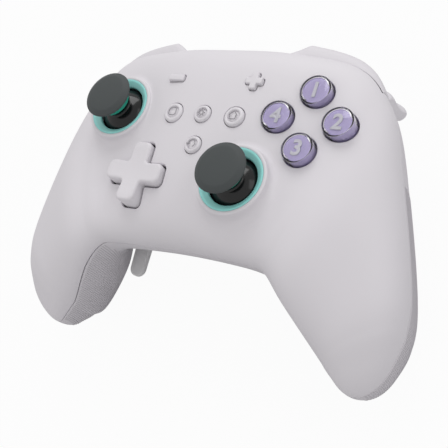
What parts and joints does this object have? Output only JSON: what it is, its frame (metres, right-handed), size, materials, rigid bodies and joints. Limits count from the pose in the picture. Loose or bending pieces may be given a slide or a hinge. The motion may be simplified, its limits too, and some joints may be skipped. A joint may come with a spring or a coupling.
{
  "type": "gamepad controller",
  "caption": "Grey wireless gamepad with rubber-topped thumbsticks in teal rings, clear-capped lavender face buttons, a cross pad, bumpers, triggers and rear paddles",
  "frame": {"origin": "centre of the outline on the level of the lowest point of the grips", "axes": "+X to the player's right, +Y towards the bumpers, +Z out of the face with the sticks"},
  "size_m": [0.1494, 0.1064, 0.0704],
  "materials": {
    "shell_front": "fine matt moulded ABS",
    "shell_rear": "matt moulded ABS with fine ribs on the grips",
    "shoulder_plastic": "matt moulded ABS",
    "pad_plastic": "matt moulded ABS",
    "menu_plastic": "matt moulded ABS",
    "paddle_plastic": "matt grey ABS",
    "black_plastic": "moulded nylon",
    "gloss_black": "polished black acetal",
    "stick_rubber": "soft matt rubber",
    "green_band": "coloured acetal",
    "teal_ring": "smooth low-friction ring",
    "lavender_core": "smooth coloured ABS",
    "clear_cap": "polished clear acrylic",
    "silicone": "moulded silicone",
    "board_green": "solder-masked board",
    "battery_wrap": "wrapped lithium cell",
    "spring_steel": "drawn steel",
    "motor_steel": "plated steel can",
    "motor_weight": "sintered weight",
    "socket_steel": "plated steel",
    "screw_steel": "blackened steel"
  },
  "bodies": {
    "body": {"front_shell": "shell_front", "rear_shell": "shell_rear", "left_trigger_pin": "spring_steel", "right_trigger_pin": "spring_steel", "left_shoulder_frame": "black_plastic", "right_shoulder_frame": "black_plastic", "left_stick_ring": "teal_ring", "right_stick_ring": "teal_ring", "left_stick_module": "black_plastic", "right_stick_module": "black_plastic", "cross_pad_membrane": "silicone", "face_membrane": "silicone", "menu_membrane": "silicone", "left_paddle_pin": "spring_steel", "right_paddle_pin": "spring_steel", "main_board": "board_green", "battery": "battery_wrap", "left_motor": "motor_steel", "right_motor": "motor_steel", "usb_port": "socket_steel", "case_screws": "screw_steel"},
    "left_bumper": {"left_bumper": "shoulder_plastic"},
    "right_bumper": {"right_bumper": "shoulder_plastic"},
    "left_trigger": {"left_trigger": "shoulder_plastic", "left_trigger_spring": "spring_steel"},
    "right_trigger": {"right_trigger": "shoulder_plastic", "right_trigger_spring": "spring_steel"},
    "left_stick_gimbal": {"left_stick_yoke": "black_plastic"},
    "left_stick_post": {"left_stick_shaft": "spring_steel"},
    "left_stick": {"left_stick_cap": "stick_rubber", "left_stick_band": "green_band", "left_stick_skirt": "gloss_black"},
    "right_stick_gimbal": {"right_stick_yoke": "black_plastic"},
    "right_stick_post": {"right_stick_shaft": "spring_steel"},
    "right_stick": {"right_stick_cap": "stick_rubber", "right_stick_band": "green_band", "right_stick_skirt": "gloss_black"},
    "cross_pad_rocker": {"cross_pad_rocker": "black_plastic"},
    "cross_pad": {"cross_pad": "pad_plastic"},
    "north_button": {"north_button": "lavender_core", "north_button_cap": "clear_cap"},
    "east_button": {"east_button": "lavender_core", "east_button_cap": "clear_cap"},
    "south_button": {"south_button": "lavender_core", "south_button_cap": "clear_cap"},
    "west_button": {"west_button": "lavender_core", "west_button_cap": "clear_cap"},
    "minus_button": {"minus_button": "menu_plastic"},
    "plus_button": {"plus_button": "menu_plastic"},
    "capture_button": {"capture_button": "menu_plastic"},
    "settings_button": {"settings_button": "menu_plastic"},
    "home_button": {"home_button": "menu_plastic"},
    "profile_button": {"profile_button": "menu_plastic"},
    "left_paddle": {"left_paddle": "paddle_plastic"},
    "right_paddle": {"right_paddle": "paddle_plastic"},
    "left_motor_weight": {"left_motor_weight": "motor_weight"},
    "right_motor_weight": {"right_motor_weight": "motor_weight"}
  },
  "joints": [
    {"name": "left_stick_forward", "type": "hinge", "parent": "body", "child": "left_stick_gimbal", "pos_m": [-0.0364, 0.02104, 0.05128], "axis": [1, 0, 0], "range_deg": [-15, 15], "stiffness_Nm_per_rad": 0.06},
    {"name": "left_stick_sideways", "type": "hinge", "parent": "left_stick_gimbal", "child": "left_stick_post", "pos_m": [-0.0364, 0.02104, 0.05128], "axis": [0, 1, 0], "range_deg": [-15, 15], "stiffness_Nm_per_rad": 0.06},
    {"name": "left_stick_press", "type": "slide", "parent": "left_stick_post", "child": "left_stick", "axis": [0, 0, -1], "range_m": [0, 0.0005], "stiffness_N_per_m": 3000},
    {"name": "right_stick_forward", "type": "hinge", "parent": "body", "child": "right_stick_gimbal", "pos_m": [0.0187, -0.00206, 0.05128], "axis": [1, 0, 0], "range_deg": [-15, 15], "stiffness_Nm_per_rad": 0.06},
    {"name": "right_stick_sideways", "type": "hinge", "parent": "right_stick_gimbal", "child": "right_stick_post", "pos_m": [0.0187, -0.00206, 0.05128], "axis": [0, 1, 0], "range_deg": [-15, 15], "stiffness_Nm_per_rad": 0.06},
    {"name": "right_stick_press", "type": "slide", "parent": "right_stick_post", "child": "right_stick", "axis": [0, 0, -1], "range_m": [0, 0.0005], "stiffness_N_per_m": 3000},
    {"name": "left_bumper_press", "type": "hinge", "parent": "body", "child": "left_bumper", "pos_m": [-0.04191, 0.03799, 0.04278], "axis": [-0.9713, -0.2378, 0], "range_deg": [0, 3], "stiffness_Nm_per_rad": 0.9},
    {"name": "left_trigger_pull", "type": "hinge", "parent": "body", "child": "left_trigger", "pos_m": [-0.04244, 0.04013, 0.03618], "axis": [-0.9713, -0.2378, 0], "range_deg": [0, 12], "stiffness_Nm_per_rad": 0.12},
    {"name": "left_paddle_press", "type": "hinge", "parent": "body", "child": "left_paddle", "pos_m": [-0.0332, 0.00144, 0.02557], "axis": [-1, 0, 0], "range_deg": [0, 4], "stiffness_Nm_per_rad": 0.7},
    {"name": "left_rumble", "type": "hinge", "parent": "body", "child": "left_motor_weight", "pos_m": [-0.0592, -0.01316, 0.02328], "axis": [0, 1, 0], "continuous": true},
    {"name": "right_bumper_press", "type": "hinge", "parent": "body", "child": "right_bumper", "pos_m": [0.04191, 0.03799, 0.04278], "axis": [-0.9713, 0.2378, 0], "range_deg": [0, 3], "stiffness_Nm_per_rad": 0.9},
    {"name": "right_trigger_pull", "type": "hinge", "parent": "body", "child": "right_trigger", "pos_m": [0.04244, 0.04013, 0.03618], "axis": [-0.9713, 0.2378, 0], "range_deg": [0, 12], "stiffness_Nm_per_rad": 0.12},
    {"name": "right_paddle_press", "type": "hinge", "parent": "body", "child": "right_paddle", "pos_m": [0.0332, 0.00144, 0.02557], "axis": [-1, 0, 0], "range_deg": [0, 4], "stiffness_Nm_per_rad": 0.7},
    {"name": "right_rumble", "type": "hinge", "parent": "body", "child": "right_motor_weight", "pos_m": [0.0592, -0.01316, 0.02328], "axis": [0, 1, 0], "continuous": true},
    {"name": "cross_pad_forward", "type": "hinge", "parent": "body", "child": "cross_pad_rocker", "pos_m": [-0.0196, -0.00316, 0.05562], "axis": [1, 0, 0], "range_deg": [-3.5, 3.5], "stiffness_Nm_per_rad": 0.25},
    {"name": "cross_pad_sideways", "type": "hinge", "parent": "cross_pad_rocker", "child": "cross_pad", "pos_m": [-0.0196, -0.00316, 0.05562], "axis": [0, 1, 0], "range_deg": [-3.5, 3.5], "stiffness_Nm_per_rad": 0.25},
    {"name": "north_press", "type": "slide", "parent": "body", "child": "north_button", "axis": [0, 0, -1], "range_m": [0, 0.0014], "stiffness_N_per_m": 500},
    {"name": "east_press", "type": "slide", "parent": "body", "child": "east_button", "axis": [0, 0, -1], "range_m": [0, 0.0014], "stiffness_N_per_m": 500},
    {"name": "south_press", "type": "slide", "parent": "body", "child": "south_button", "axis": [0, 0, -1], "range_m": [0, 0.0014], "stiffness_N_per_m": 500},
    {"name": "west_press", "type": "slide", "parent": "body", "child": "west_button", "axis": [0, 0, -1], "range_m": [0, 0.0014], "stiffness_N_per_m": 500},
    {"name": "minus_press", "type": "slide", "parent": "body", "child": "minus_button", "axis": [0, 0, -1], "range_m": [0, 0.0008], "stiffness_N_per_m": 700},
    {"name": "plus_press", "type": "slide", "parent": "body", "child": "plus_button", "axis": [0, 0, -1], "range_m": [0, 0.0008], "stiffness_N_per_m": 700},
    {"name": "capture_press", "type": "slide", "parent": "body", "child": "capture_button", "axis": [0, 0, -1], "range_m": [0, 0.0008], "stiffness_N_per_m": 700},
    {"name": "settings_press", "type": "slide", "parent": "body", "child": "settings_button", "axis": [0, 0, -1], "range_m": [0, 0.0008], "stiffness_N_per_m": 700},
    {"name": "home_press", "type": "slide", "parent": "body", "child": "home_button", "axis": [0, 0, -1], "range_m": [0, 0.0008], "stiffness_N_per_m": 700},
    {"name": "profile_press", "type": "slide", "parent": "body", "child": "profile_button", "axis": [0, 0, -1], "range_m": [0, 0.0008], "stiffness_N_per_m": 700}
  ]
}
